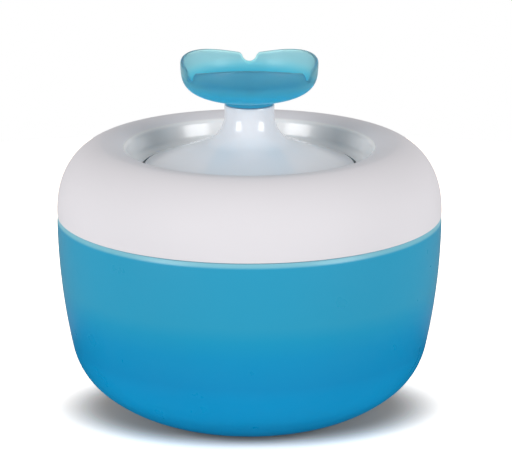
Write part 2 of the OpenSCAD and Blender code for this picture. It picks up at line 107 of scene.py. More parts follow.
# Flow cone
NECK_R = 14.2
NECK_L = 5.6
FLARE_R = 18.0
FLARE_FILL = 20.0
SKIRT_SLOPE = 20.0
SKIRT_RISE = 1.4
CONE_WALL = 2.2
CONE_RIBS = 6
RIB_T = 1.6
RISER_OUT = 8.2
SOCKET_PLAY = 0.2
SOCKET_WALL = 2.6
SOCKET_L = 15.0
HUB_RISE = 3.7

# Overflow cup: its bowl is a superellipse with two powers
CUP_R = 39.0
CUP_H = 24.2
CUP_WALL = 2.2
BOWL_P, BOWL_Q = 2.6, 4.0
COLLAR_R = 13.6
COLLAR_H = 2.8
PETALS = 3
PETAL_FALL = 4.2
NOTCH_R = 4.3
NOTCH_DEPTH = 5.5
SHOULDER_R = 3.8
SHOULDER_RISE = 0.2
STEM_R = 9.9
STEM_IN = 6.8
STEM_PLAY = 0.5
STEM_L = 15.0
STEM_GAP = 1.4
STEM_EASE = 0.6
RING_R = 1.0
RING_DROP = 8.0
GROOVE_DEPTH = 1.7

# Ring filter
HUB_WALL = 2.6
FRAME_GAP = 0.8
FRAME_WALL = 1.4

# ---------------------------------------------------------------- sizes that only this model has
# How far a cutter reaches past the wall that it cuts
CUT_PAST = 6.0
# Roll of the lip between the cover and the recess's wall, and the joint that is left in it, in degrees
LIP_ROLL = 3.4
HAIRLINE = 0.06
# Share of the cup's depth at which its columns leave the rim's shape and follow the bowl alone
CUP_SPLIT = 0.62
# Columns round the large turned pieces and round the cone
ROUND = 256
CONE_ROUND = 192
# Loose carbon grains, and the largest radius that one has
GRAIN_COUNT = 1600
GRAIN_R = 0.8
# Radius of the disc that the object stands on
FLOOR_R = 700.0

# ---------------------------------------------------------------- camera fit
# The view's own distance, height and tilt, and where the object's axis stands in a 512 by 472 frame.
FRAME_W, FRAME_H = 512, 472
VIEW_DISTANCE = 1.430
VIEW_TILT = math.radians(16.77)
AIM_Z = 0.0705
AIM_PIXEL = (249.5, 290.5)
FOCAL_PIXELS = 2470.0
SENSOR = 36.0

# ---------------------------------------------------------------- stage and light, in metres
FLOOR_TONE = 0.8
# The floor's tones near the object and far from it as the camera sees them, and the distances between
# which one gives way to the other. The near tone is a darker, warm painted shadow round the object, warm
# so as to cancel the blue light thrown from the tank. Distances along Y count for more, so the painted
# shadow's oval is wide.
FLOOR_SHADOW_TONE = (0.66, 0.52, 0.42)
FLOOR_FAR = (2.6, 2.3, 2.05)
FLOOR_FADE = (0.08, 0.128)
FLOOR_SQUASH = 1.6
# The same for the floor in mirror reflections, where the near tone is a painted shade that keeps the floor
# round the object dark
MIRROR_SHADE_TONE = (0.03, 0.03, 0.03)
MIRROR_FAR = (0.4, 0.4, 0.4)
MIRROR_FADE = (0.18, 0.26)
# Strengths of the soft light in front and behind, and of what reflections see ahead and at the sides
WORLD_FRONT, WORLD_REAR = 0.28, 0.72
WORLD_GLOSS, WORLD_SIDES = 0.6, 0.1
SIDES_FADE = (0.45, 0.85)
# Name, azimuth, elevation, distance, width, height, power
LIGHTS = (
    ("left_box", -49, 14, 1.8, 0.78, 0.95, 19.0),
    ("right_box", 54, 14, 1.8, 0.78, 0.95, 17.6),
)
LIGHTS_AIM = Vector((0, 0, 0.12))


def sin(a):
    return math.sin(math.radians(a))


def cos(a):
    return math.cos(math.radians(a))


# ---------------------------------------------------------------- outlines
def on_arc(c, r, a):
    """A point on an arc; angle 0 is its lowest point and 90 its outermost."""
    return (c[0] + r * sin(a), c[1] - r * cos(a))


def arc(c, r, a0, a1, n):
    return [on_arc(c, r, a0 + (a1 - a0) * i / n) for i in range(n + 1)]


def quarter(c, rx, rz, p, q, t0, t1, n):
    """A run of a superellipse about c, from its side (0) to its end over the middle (90)."""
    points = []
    for i in range(n + 1):
        t = t0 + (t1 - t0) * i / n
        points.append((c[0] + rx * max(cos(t), 0) ** (2 / p), c[1] + rz * max(sin(t), 0) ** (2 / q)))
    return points


def rounded(points, radii, steps=4):
    """The closed outline with its corners rounded: radii maps a point's index to a radius."""
    out = []
    for i, p in enumerate(points):
        if i not in radii:
            out.append(p)
            continue
        here = Vector(p)
        back = Vector(points[i - 1]) - here
        ahead = Vector(points[(i + 1) % len(points)]) - here
        reach = min(radii[i], 0.45 * back.length, 0.45 * ahead.length)
        a = here + back.normalized() * reach
        b = here + ahead.normalized() * reach
        for k in range(steps + 1):
            t = k / steps
            out.append(tuple((1 - t) ** 2 * a + 2 * t * (1 - t) * here + t * t * b))
    return out


def lip_centre():
    """Centre of the lip that joins the cover's roll to the recess's wall, and the angle it starts at."""
    up_wall = Vector((cos(DISH_LEAN), sin(DISH_LEAN)))
    off_wall = Vector((sin(DISH_LEAN), -cos(DISH_LEAN)))
    from_roll = Vector(on_arc(BEND_C, DISH_BEND, DISH_LEAN)) + LIP_ROLL * off_wall - Vector(ROLL_C)
    reach = from_roll.dot(up_wall)
    up = -reach + math.sqrt(reach ** 2 - from_roll.length_squared + (ROLL_R - LIP_ROLL) ** 2)
    centre = Vector(ROLL_C) + from_roll + up * up_wall
    return tuple(centre), 180 + math.degrees(math.asin((CREST_R - centre.x) / (ROLL_R - LIP_ROLL)))


# Tank
WIDEST_Z = RIM_Z - RIM_BAND
SIDE_R = CORNER_R + (WIDEST_Z - FOOT_PROUD - (CORNER_R - SOLE_R) * cos(CORNER_A)
                     - SOLE_R * cos(SOLE_A)) / cos(SIDE_A)
SIDE_C = (BODY_R - SIDE_R, WIDEST_Z)
CORNER_C = on_arc(SIDE_C, SIDE_R - CORNER_R, SIDE_A)
SOLE_C = on_arc(CORNER_C, CORNER_R - SOLE_R, CORNER_A)
FLOOR_Z = on_arc(SOLE_C, SOLE_R - TANK_WALL, SOLE_A)[1]
RIM_IN = BODY_R - TANK_WALL
GLAND_Z = RIM_Z - SLOT_DEPTH + SLOT_W / 2

# Cover
COVER_Z = RIM_Z + LIFT
CREST_Z = RIM_Z + COVER_H
MOUTH_R = WELL_R + DISH_FLARE
CREST_R = MOUTH_R + CREST_OUT
LIP_R = MOUTH_R + DISH_T + SEAT + 0.75 * COVER_WALL / 2
ROLL_R = ((CREST_R - LIP_R) ** 2 + LIP_DROP ** 2) / (2 * LIP_DROP)
ROLL_C = (CREST_R, CREST_Z - ROLL_R)
ROLL_A = math.degrees(math.asin((CREST_R - LIP_R) / ROLL_R))
SPIGOT_R = RIM_IN - SLIDE
SPIGOT_GAP_W = SLOT_W + 4 * GLAND_FLANGE

# Recess
RING_FOOT_Z = CREST_Z - WELL_DEPTH
MOUTH_Z = CREST_Z - LIP_DROP - MOUTH_STEP
BEND_Z = RING_FOOT_Z + DISH_BEND
DISH_WALL_H = MOUTH_Z - (BEND_Z - DISH_BEND * cos(DISH_LEAN))
BEND_C = (MOUTH_R - DISH_WALL_H / math.tan(math.radians(DISH_LEAN)) - DISH_BEND * sin(DISH_LEAN), BEND_Z)
LIP_C, LIP_START = lip_centre()
HANG_R = LIP_R + COVER_WALL * sin(ROLL_A) + LIFT
LEDGE_TOP = RING_FOOT_Z - DISH_T - SEAT - TRAY_WALL - SEAT
LEDGE_R = WELL_R + TRAY_PLAY + TRAY_WALL + SLIDE

# Flow cone
SKIRT_R = WELL_R - DRAIN_GAP
SKIRT_Z = RING_FOOT_Z + SKIRT_RISE
SKIRT_NOSE = (SKIRT_R - CONE_WALL / 2, SKIRT_Z - CONE_WALL / 2)
SKIRT_N = (sin(SKIRT_SLOPE), cos(SKIRT_SLOPE))
SKIRT_END = (SKIRT_NOSE[0] + SKIRT_N[0] * CONE_WALL / 2, SKIRT_NOSE[1] + SKIRT_N[1] * CONE_WALL / 2)
FLARE_END_R = NECK_R + FLARE_R - FLARE_R * sin(SKIRT_SLOPE)
FLARE_Z = (SKIRT_END[1] + (SKIRT_END[0] - FLARE_END_R) * math.tan(math.radians(SKIRT_SLOPE))
           + FLARE_R * cos(SKIRT_SLOPE))
NECK_TOP = FLARE_Z + NECK_L
SOCKET_IN = RISER_OUT + SOCKET_PLAY
SOCKET_OUT = SOCKET_IN + SOCKET_WALL
STEM_BORE = STEM_R + STEM_PLAY
STEM_SEAT_Z = NECK_TOP - STEM_L
HUB_Z = SKIRT_Z + HUB_RISE
SOCKET_Z = HUB_Z - SOCKET_L
FILTER_IN = SOCKET_OUT + SLIDE + HUB_WALL + FRAME_GAP + FRAME_WALL + SEAT

# Overflow cup
CUP_FOOT_Z = NECK_TOP + LIFT
TIP_Z = CUP_FOOT_Z + COLLAR_H + CUP_H * (1 - (COLLAR_R / CUP_R) ** BOWL_P) ** (1 / BOWL_Q)
PETAL_SPAN = CUP_R * sin(50)
PETAL_R = (PETAL_SPAN ** 2 + PETAL_FALL ** 2) / (2 * PETAL_FALL)
SHOULDER_Z = TIP_Z - PETAL_FALL + SHOULDER_RISE
NOTCH_Z = SHOULDER_Z - NOTCH_DEPTH
RING_Z = NECK_TOP - RING_DROP


def tank_line(inset, n=24):
    """The tank's side, corner and underside, set in from its outer face."""
    return (arc(SIDE_C, SIDE_R - inset, 90, SIDE_A, n)
            + arc(CORNER_C, CORNER_R - inset, SIDE_A, CORNER_A, n)[1:]
            + arc(SOLE_C, SOLE_R - inset, CORNER_A, SOLE_A, n)[1:])


def roll_at(r, depth):
    """The roll-over's angle at a radius, on its face that is set in by depth."""
    return 180 + math.degrees(math.asin((CREST_R - r) / (ROLL_R - depth)))


def dish_line(inset):
    """The dish ring's lip, wall, bend and foot, set out from its inner face."""
    return (arc(LIP_C, LIP_ROLL - inset, LIP_START, 180 + DISH_LEAN, 14)
            + arc(BEND_C, DISH_BEND + inset, DISH_LEAN, 0, 16) + [(WELL_R, RING_FOOT_Z - inset)])


def cone_line(inset, a0, n):
    """The cone's flare and skirt, set in from its outer face."""
    line = []
    for i in range(n + 1):
        b = a0 + (90 - SKIRT_SLOPE - a0) * i / n
        line.append((NECK_R + FLARE_R - (FLARE_R + inset) * cos(b), FLARE_Z - (FLARE_R + inset) * sin(b)))
    end = (SKIRT_END[0] - inset * SKIRT_N[0], SKIRT_END[1] - inset * SKIRT_N[1])
    last = line[-1]
    for i in range(1, n + 1):
        t = i / n
        line.append((last[0] + (end[0] - last[0]) * t, last[1] + (end[1] - last[1]) * t))
    return line


# ---------------------------------------------------------------- mesh helpers
UPRIGHT = Matrix.Rotation(math.radians(90), 4, "X")


def add_object(name, verts, faces):
    mesh = bpy.data.meshes.new(name)
    mesh.from_pydata([Vector(v) * MM for v in verts], [], faces)
    mesh.update()
    obj = bpy.data.objects.new(name, mesh)
    bpy.context.collection.objects.link(obj)
    return obj


def face_outwards(obj):
    work = bmesh.new()
    work.from_mesh(obj.data)
    bmesh.ops.remove_doubles(work, verts=work.verts, dist=1e-7)
    bmesh.ops.recalc_face_normals(work, faces=work.faces)
    work.to_mesh(obj.data)
    work.free()


def lathe(name, outline, segments):
    """Turns a closed outline of (radius, height) points about the Z axis."""
    verts, rows = [], []
    for r, z in outline:
        if r < 1e-6:
            rows.append([len(verts)] * segments)
            verts.append((0, 0, z))
            continue
        rows.append(list(range(len(verts), len(verts) + segments)))
        for k in range(segments):
            a = 2 * math.pi * k / segments
            verts.append((r * math.cos(a), r * math.sin(a), z))
    faces = []
    for i, row in enumerate(rows):
        below = rows[i - 1]
        for k in range(segments):
            m = (k + 1) % segments
            corners = list(dict.fromkeys((below[k], below[m], row[m], row[k])))
            if len(corners) > 2:
                faces.append(corners)
    obj = add_object(name, verts, faces)
    face_outwards(obj)
    return obj


def prism(name, outline, matrix, depth):
    """A closed (x, y) outline pushed along +Z by depth, then placed by matrix; all in millimetres."""
    count = len(outline)
    verts = [matrix @ Vector((x, y, 0)) for x, y in outline]
    verts += [matrix @ Vector((x, y, depth)) for x, y in outline]
    faces = [list(range(count)), list(range(count, 2 * count))]
    faces += [[i, (i + 1) % count, count + (i + 1) % count, count + i] for i in range(count)]
    obj = add_object(name, verts, faces)
    face_outwards(obj)
    return obj


def boolean(obj, tools, operation):
    """Cuts the tools out of the object or adds them to it, and deletes them."""
    for tool in tools:
        mod = obj.modifiers.new("cut", "BOOLEAN")
        mod.operation = operation
        mod.solver = "EXACT"
        mod.object = tool
    depsgraph = bpy.context.evaluated_depsgraph_get()
    mesh = bpy.data.meshes.new_from_object(obj.evaluated_get(depsgraph))
    obj.modifiers.clear()
    old = obj.data
    obj.data = mesh
    bpy.data.meshes.remove(old)
    for tool in tools:
        bpy.data.objects.remove(tool)


# ---------------------------------------------------------------- node helpers, for materials and the world
def add_node(owner, kind, **values):
    """A new node; values are its own settings, or its sockets with a capital first letter."""
    node = owner.node_tree.nodes.new(kind)
    for key, value in values.items():
        if hasattr(node, key):
            setattr(node, key, value)
        else:
            node.inputs[key].default_value = value
    return node


def link(owner, out, into):
    owner.node_tree.links.new(out, into)


def object_point(owner):
    return add_node(owner, "ShaderNodeTexCoord").outputs["Object"]


def along(owner, point, axis):
    """One coordinate of a point."""
    split = add_node(owner, "ShaderNodeSeparateXYZ")
    link(owner, point, split.inputs["Vector"])
    return split.outputs[axis]


def noise(owner, scale, detail=3.0, roughness=0.5, **values):
    node = add_node(owner, "ShaderNodeTexNoise", Scale=scale, Detail=detail, Roughness=roughness, **values)
    link(owner, object_point(owner), node.inputs["Vector"])
    return node.outputs["Fac"]


def spread(owner, value, fade, to=(0.0, 1.0), ease="LINEAR"):
    """Maps the range fade to the range to, and holds its ends outside."""
    node = add_node(owner, "ShaderNodeMapRange", interpolation_type=ease)
    link(owner, value, node.inputs["Value"])
    for socket, number in zip(node.inputs[1:5], fade + to):
        socket.default_value = number
    return node.outputs["Result"]


def eased(owner, value, fade, to=(0.0, 1.0)):
    return spread(owner, value, fade, to, "SMOOTHSTEP")


def blend(owner, factor, a, b):
    """Mix of two colours, each an output or a constant."""
    node = add_node(owner, "ShaderNodeMix", data_type="RGBA")
    link(owner, factor, node.inputs["Factor"])
    for value, socket in ((a, node.inputs[6]), (b, node.inputs[7])):
        if isinstance(value, tuple):
            socket.default_value = value + (1.0,)
        else:
            link(owner, value, socket)
    return node.outputs[2]


def seen_by(owner, first, *others):
    """1 for rays of the named kinds, 0 for the rest."""
    path = add_node(owner, "ShaderNodeLightPath")
    total = path.outputs[first]
    for name in others:
        either = add_node(owner, "ShaderNodeMath", operation="MAXIMUM")
        link(owner, total, either.inputs[0])
        link(owner, path.outputs[name], either.inputs[1])
        total = either.outputs[0]
    return total


# ---------------------------------------------------------------- material helpers
GRAIN_DEPTH = 0.0002


def new_material(name, **values):
    """A Principled material; values are its sockets' names in lower case with underscores."""
    mat = bpy.data.materials.new(name)
    mat.use_nodes = True
    for key, value in values.items():
        socket = next(s for s in shader_of(mat).inputs if s.name.lower().replace(" ", "_") == key)
        socket.default_value = value
    return mat


def shader_of(mat):
    return mat.node_tree.nodes["Principled BSDF"]


def rgb(r, g, b):
    """Linear colour from sRGB values of 0 to 255."""
    def linear(c):
        c /= 255
        return c / 12.92 if c <= 0.04045 else ((c + 0.055) / 1.055) ** 2.4
    return (linear(r), linear(g), linear(b), 1.0)


def toned(colour, factor):
    """The colour made darker or lighter."""
    return tuple(min(1, c * factor) for c in colour[:3]) + (1,)


def tint(mat, value, stops):
    """Gives the material a base colour that changes with value; stops are (position, colour)."""
    node = add_node(mat, "ShaderNodeValToRGB")
    link(mat, value, node.inputs["Fac"])
    elements = node.color_ramp.elements
    while len(elements) < len(stops):
        elements.new(0.5)
    for element, (position, colour) in zip(elements, stops):
        element.position = position
        element.color = colour
    link(mat, node.outputs["Color"], shader_of(mat).inputs["Base Color"])


def relief(mat, height, strength, distance):
    node = add_node(mat, "ShaderNodeBump", Strength=strength, Distance=distance)
    link(mat, height, node.inputs["Height"])
    link(mat, node.outputs["Normal"], shader_of(mat).inputs["Normal"])


def grain(mat, scale, strength):
    relief(mat, noise(mat, scale, 4.0), strength, GRAIN_DEPTH)


def uneven_roughness(mat, scale, low, high):
    value = spread(mat, noise(mat, scale, 5.0), (0.3, 0.7), (low, high))
    link(mat, value, shader_of(mat).inputs["Roughness"])


# ---------------------------------------------------------------- materials of the pieces in view
def tank_blue():
    """Milky blue polypropylene whose colour changes with height: lighter towards the foot and deepest a
    little below the middle. A painted reflection makes the upper side lighter, and a painted highlight makes
    a thin band at the rim pale.
    """
    mat = new_material("tank_blue", ior=1.48, specular_ior_level=0.3)
    # Colour by height: the lighter upper side is a painted reflection, and the pale band at the top a
    # painted highlight on the rim's rounded edge.
    tint(mat, spread(mat, along(mat, object_point(mat), "Z"), (0, RIM_Z * MM)), [
        (0.0, rgb(0, 168, 224)), (0.2, rgb(0, 158, 214)), (0.38, rgb(0, 139, 192)),
        (0.53, rgb(0, 143, 192)), (0.62, rgb(14, 148, 190)), (0.69, rgb(36, 152, 189)),
        (0.975, rgb(38, 152, 189)), (0.985, rgb(118, 186, 204)), (1.0, rgb(130, 190, 206))])
    uneven_roughness(mat, 60, 0.27, 0.34)
    grain(mat, 1400, 0.12)
    return mat


def cover_white():
    """Satin white plastic."""
    mat = new_material("cover_white", base_color=rgb(221, 218, 222), ior=1.45, specular_ior_level=0.15)
    uneven_roughness(mat, 50, 0.52, 0.60)
    grain(mat, 1600, 0.06)
    return mat


def gloss_white(name, colour, coat_roughness):
    """White plastic with a gloss skin."""
    mat = new_material(name, base_color=colour, ior=1.5, coat_weight=0.3, coat_roughness=coat_roughness)
    uneven_roughness(mat, 40, 0.18, 0.26)
    grain(mat, 300, 0.03)
    return mat


def spout_blue():
    """Tinted plastic, milky and deep low down and clearer towards the rim. Its paler tone towards the rim is
    partly painted light, standing for the lit upper and back walls of the bowl.
    """
    mat = new_material("spout_blue", ior=1.34, specular_ior_level=0.05)
    z = along(mat, object_point(mat), "Z")
    # The pale upper stops are partly painted light on the bowl's upper and back walls.
    tint(mat, spread(mat, z, (CUP_FOOT_Z * MM, TIP_Z * MM)), [
        (0.0, rgb(70, 176, 214)), (0.10, rgb(70, 176, 214)), (0.13, rgb(0, 206, 248)),
        (0.30, rgb(0, 206, 248)), (0.48, rgb(96, 204, 228)), (0.72, rgb(146, 206, 218)),
        (1.0, rgb(158, 206, 216))])
    clear = spread(mat, z, ((CUP_FOOT_Z + COLLAR_H + 2) * MM, (TIP_Z - 10) * MM), (0.12, 0.9))
    link(mat, clear, shader_of(mat).inputs["Transmission Weight"])
    uneven_roughness(mat, 50, 0.28, 0.36)
    return mat


# ---------------------------------------------------------------- pieces that replace CAD nodes
def dress(obj, body, mat, node):
    """Gives a piece its look and puts it in a CAD node's place on its body."""
    obj.data.shade_smooth()
    obj.data.set_sharp_from_angle(angle=math.radians(32))
    obj.data.materials.clear()
    obj.data.materials.append(mat)
    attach(obj, body)
    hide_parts(node)


def gland_slot_cutter():
    """The gland's slot through the tank's rear wall: round at its foot and open at the rim."""
    low, high = RIM_IN - CUT_PAST, BODY_R + CUT_PAST
    outline = [(SLOT_W / 2 * cos(180 + 9 * i), SLOT_W / 2 * sin(180 + 9 * i)) for i in range(21)]
    outline += [(SLOT_W / 2, SLOT_DEPTH), (-SLOT_W / 2, SLOT_DEPTH)]
    place = Matrix.Translation((0, low, GLAND_Z)) @ UPRIGHT @ Matrix.Scale(-1, 4, (0, 0, 1))
    return prism("gland_slot", outline, place, high - low)


def make_tank(mat):
    lip, band_edge = 0.35, 0.8
    outline = rounded(
        [(RIM_IN, RIM_Z), (BODY_R - RIM_BEVEL, RIM_Z)] + tank_line(0) + [(0, FOOT_PROUD), (0, FLOOR_Z)]
        + tank_line(TANK_WALL)[::-1], {0: lip, 1: lip, 2: band_edge})
    obj = lathe("tank_shell", outline, ROUND)
    boolean(obj, [gland_slot_cutter()], "DIFFERENCE")
    dress(obj, "tank_body", mat, "tank")


def spigot_gap_cutter():
    """Room in the cover's spigot for the gland's flange."""
    below = 1
    low, high = BODY_R - SPIGOT_GAP_IN, SPIGOT_R + LIFT
    half = SPIGOT_GAP_W / 2
    place = Matrix.Translation((0, 0, RIM_Z - SPIGOT_DEPTH - below))
    return prism("spigot_gap", [(-half, low), (half, low), (half, high), (-half, high)], place,
                 SPIGOT_DEPTH + below + LIFT)


def make_cover(mat):
    inner_c = (CREST_R, COVER_Z)
    rx, rz = BODY_R - CREST_R, CREST_Z - COVER_Z
    root_t = math.degrees(math.asin((SPIGOT_ROOT / (rz - COVER_WALL)) ** (COVER_Q / 2)))
    lower_edge = [(BODY_R - 0.55, COVER_Z), (BODY_R - 0.15, COVER_Z + 0.2)]
    outline = (
        lower_edge + quarter(inner_c, rx, rz, COVER_P, COVER_Q, 0, 90, 64)[1:]
        + arc(ROLL_C, ROLL_R, 180, LIP_START - HAIRLINE, 20)[1:]
        + [on_arc(LIP_C, LIP_ROLL - DISH_T - SEAT, LIP_START - HAIRLINE),
           (HANG_R, LEDGE_TOP), (LEDGE_R, LEDGE_TOP), (LEDGE_R, LEDGE_TOP - COVER_WALL),
           (HANG_R + COVER_WALL, LEDGE_TOP - COVER_WALL)]
        + arc(ROLL_C, ROLL_R - COVER_WALL, roll_at(HANG_R + COVER_WALL, COVER_WALL), 180, 10)
        + quarter(inner_c, rx - COVER_WALL, rz - COVER_WALL, COVER_P, COVER_Q, 90, root_t, 32)[1:]
        + [(SPIGOT_R - SPIGOT_T, COVER_Z + SPIGOT_ROOT), (SPIGOT_R - SPIGOT_T, RIM_Z - SPIGOT_DEPTH),
           (SPIGOT_R, RIM_Z - SPIGOT_DEPTH), (SPIGOT_R, COVER_Z)])
    obj = lathe("cover_shell", outline, ROUND)
    boolean(obj, [spigot_gap_cutter()], "DIFFERENCE")
    dress(obj, "cover_body", mat, "top_cover")


def make_dish_ring(mat):
    obj = lathe("dish_wall", dish_line(0) + dish_line(DISH_T)[::-1], ROUND)
    dress(obj, "cover_body", mat, "dish_ring")


def cone_ribs():
    """Ribs under the skirt, from the socket out to where the skirt comes down to them."""
    line = cone_line(CONE_WALL / 2, FLARE_FILL, 8)
    low = HUB_Z + LIFT
    end_r = line[-1][0] - (low - line[-1][1]) / math.tan(math.radians(SKIRT_SLOPE))
    root_r = SOCKET_OUT - 0.5
    outline = [(root_r, low), (root_r, line[0][1])] + [p for p in line if p[1] > low] + [(end_r, low)]
    ribs = []
    for i in range(CONE_RIBS):
        turn = Matrix.Rotation(math.radians(360 * (i + 0.5) / CONE_RIBS), 4, "Z")
        ribs.append(prism("rib", outline, turn @ Matrix.Translation((0, RIB_T / 2, 0)) @ UPRIGHT, RIB_T))
    return ribs


def make_cone(mat):
    """The last point of the neck keeps the shading of its long face apart from that of its top edge."""
    edge = 0.5
    under = cone_line(CONE_WALL, FLARE_FILL, 24)
    outline = (
        [(STEM_BORE, NECK_TOP), (NECK_R - edge, NECK_TOP), (NECK_R - 0.3 * edge, NECK_TOP - 0.3 * edge),
         (NECK_R, NECK_TOP - edge), (NECK_R, NECK_TOP - 1.4 * edge)]
        + cone_line(0, 0, 32) + arc(SKIRT_NOSE, CONE_WALL / 2, 180 - SKIRT_SLOPE, -SKIRT_SLOPE, 12)[1:]
        + under[::-1][1:]
        + [(SOCKET_OUT, under[0][1]), (SOCKET_OUT, SOCKET_Z), (SOCKET_IN, SOCKET_Z),
           (SOCKET_IN, STEM_SEAT_Z), (STEM_BORE, STEM_SEAT_Z)])
    obj = lathe("cone_shell", outline, CONE_ROUND)
    boolean(obj, cone_ribs(), "UNION")
    dress(obj, "cone_body", mat, "flow_cone")


# ---------------------------------------------------------------- the overflow cup
def bowl_radius(z, radius, depth):
    """Radius of the cup's superellipse at a height; it stays full above the petals' tips."""
    drop = min(max((TIP_Z - z) / depth, 0), 1)
    return radius * (1 - drop ** BOWL_Q) ** (1 / BOWL_P)


def petal_z(off):
    """Height of a petal's arched edge at an angle from its middle."""
    return TIP_Z - PETAL_R + math.sqrt(PETAL_R ** 2 - (CUP_R * sin(off)) ** 2)


def notch_line():
    """Half a notch as (distance from its middle, height): a round floor that runs into a round shoulder."""
    lean = math.degrees(math.acos(1 - NOTCH_DEPTH / (NOTCH_R + SHOULDER_R)))
    reach = (NOTCH_R + SHOULDER_R) * sin(lean)
    return (arc((0, NOTCH_Z + NOTCH_R), NOTCH_R, 0, lean, 8)
            + arc((reach, SHOULDER_Z - SHOULDER_R), -SHOULDER_R, lean, 0, 6)[1:])


def rim_curve(steps=40, merge=4):
    """The cup's rim as (angle, height) once round: arched petals with a notch between each two."""
    half = notch_line()
    notch = [(-s, z) for s, z in half[:0:-1]] + half
    first = math.degrees(math.asin(half[-1][0] / CUP_R)) - 180 / PETALS
    step_up = SHOULDER_Z - petal_z(first)
    curve = []
    for k in range(PETALS):
        notch_at = 90 + 360 * k / PETALS
        curve += [(notch_at + math.degrees(math.asin(s / CUP_R)), z) for s, z in notch]
        for i in range(1, steps):
            off = first * (1 - 2 * i / steps)
            near_notch = max(0, 1 - min(i, steps - i) / merge) ** 2
            curve.append((notch_at + 180 / PETALS + off, petal_z(off) + step_up * near_notch))
    return curve


def wall_run(centre, angle, radius, depth, steps=8):
    """A face of the cup's wall from the rim's centre down to CUP_SPLIT, as (angle, radius, height)."""
    low = TIP_Z - depth * CUP_SPLIT
    run = []
    for k in range(1, steps + 1):
        a = centre[0] + (angle - centre[0]) * k / steps
        z = centre[1] + (low - centre[1]) * k / steps
        run.append((a, bowl_radius(z, radius, depth), z))
    return run


def cup_column(angle, z, before, after):
    """One column over the rim: up the outer face, over the round lip and down the inner face."""
    half_wall = CUP_WALL / 2
    mid_r = CUP_R - half_wall
    ds = math.radians((after[0] - before[0] + 180) % 360 - 180) * mid_r
    dz = after[1] - before[1]
    normal = (-dz / math.hypot(ds, dz), ds / math.hypot(ds, dz))
    centre = (angle - math.degrees(normal[0] * half_wall / mid_r), z - normal[1] * half_wall)
    base = bowl_radius(centre[1], CUP_R, CUP_H) - half_wall
    lip = []
    for k in range(9):
        phi = 22.5 * k
        lip.append((centre[0] + math.degrees(normal[0] * half_wall * sin(phi) / mid_r),
                    base + half_wall * cos(phi), centre[1] + normal[1] * half_wall * sin(phi)))
    return (wall_run(centre, angle, CUP_R, CUP_H)[::-1] + lip
            + wall_run(centre, angle, CUP_R - CUP_WALL, CUP_H - CUP_WALL))


def cup_tail():
    """What is turned under the columns, as (radius, height): inner floor, bore, stem and outer bowl."""
    top = (0, TIP_Z)
    inner_r, inner_h = CUP_R - CUP_WALL, CUP_H - CUP_WALL
    split_t = math.degrees(math.asin(CUP_SPLIT ** (BOWL_Q / 2)))
    well_t = math.degrees(math.acos((STEM_IN / inner_r) ** (BOWL_P / 2)))
    collar_t = math.degrees(math.acos((COLLAR_R / CUP_R) ** (BOWL_P / 2)))
    tip = STEM_SEAT_Z + STEM_GAP
    groove_r, groove_half = STEM_R - GROOVE_DEPTH, RING_R + SEAT
    stem = rounded(
        [(STEM_IN, TIP_Z - inner_h), (STEM_IN, tip), (STEM_R - STEM_EASE, tip), (STEM_R, tip + STEM_EASE),
         (STEM_R, RING_Z - groove_half), (groove_r, RING_Z - groove_half),
         (groove_r, RING_Z + groove_half), (STEM_R, RING_Z + groove_half),
         (STEM_R, CUP_FOOT_Z), (COLLAR_R, CUP_FOOT_Z)], {9: 0.4})[1:]
    return (quarter(top, inner_r, -inner_h, BOWL_P, BOWL_Q, split_t, well_t, 20)[1:] + stem
            + quarter(top, CUP_R, -CUP_H, BOWL_P, BOWL_Q, collar_t, split_t, 16)[:-1])


def make_cup(mat):
    """The cup as one closed skin, whose columns follow the rim."""
    curve = rim_curve()
    count = len(curve)
    tail = cup_tail()
    verts, faces = [], []
    for i, (angle, z) in enumerate(curve):
        column = cup_column(angle, z, curve[i - 1], curve[(i + 1) % count])
        column += [(angle, r, low) for r, low in tail]
        verts += [(r * cos(a), r * sin(a), height) for a, r, height in column]
    size = len(verts) // count
    for i in range(count):
        j = (i + 1) % count
        for k in range(size):
            m = (k + 1) % size
            faces.append([i * size + k, j * size + k, j * size + m, i * size + m])
    obj = add_object("cup_shell", verts, faces)
    face_outwards(obj)
    dress(obj, "spout_body", mat, "spout_cup")


make_tank(tank_blue())
make_cover(cover_white())
make_dish_ring(gloss_white("dish_white", rgb(234, 232, 232), 0.12))
make_cone(gloss_white("cone_white", rgb(232, 231, 235), 0.1))
make_cup(spout_blue())


# ---------------------------------------------------------------- soft pieces
def fleece_look():
    """Needled polyester fleece: short fibres that lie every way, with denser tufts."""
    mat = new_material("fleece", roughness=0.95, sheen_weight=0.4, sheen_roughness=0.6)
    tint(mat, noise(mat, 420, 6.0, 0.7), [(0.3, rgb(214, 213, 202)), (0.7, rgb(240, 240, 232))])
    relief(mat, noise(mat, 900, 8.0, 0.75, Distortion=3.0), 0.7, 0.0006)
    return mat


def carbon_look():
    """Crushed carbon, with duller and brighter faces."""
    mat = new_material("carbon", ior=1.6)
    tint(mat, noise(mat, 700, 4.0), [(0.3, rgb(14, 14, 15)), (0.8, rgb(52, 52, 54))])
    uneven_roughness(mat, 900, 0.35, 0.8)
    grain(mat, 2200, 0.6)
    return mat


def foam_look():
    """Open-cell foam: small round pores, with painted shade darkening them inside."""
    mat = new_material("foam", roughness=0.95, sheen_weight=0.2)
    cells = add_node(mat, "ShaderNodeTexVoronoi", Scale=850)
    link(mat, object_point(mat), cells.inputs["Vector"])
    pore = cells.outputs["Distance"]
    # The darker tone inside the pores is painted shade.
    tint(mat, pore, [(0.05, rgb(16, 17, 18)), (0.35, rgb(56, 58, 61))])
    relief(mat, pore, 0.9, 0.0008)
    return mat


def worn(point, scale, depth):
    """A depth between 0 and depth that wanders over the surface."""
    return depth * (0.5 + 0.5 * max(-1.0, min(1.0, fractal.noise(Vector(point) * scale))))


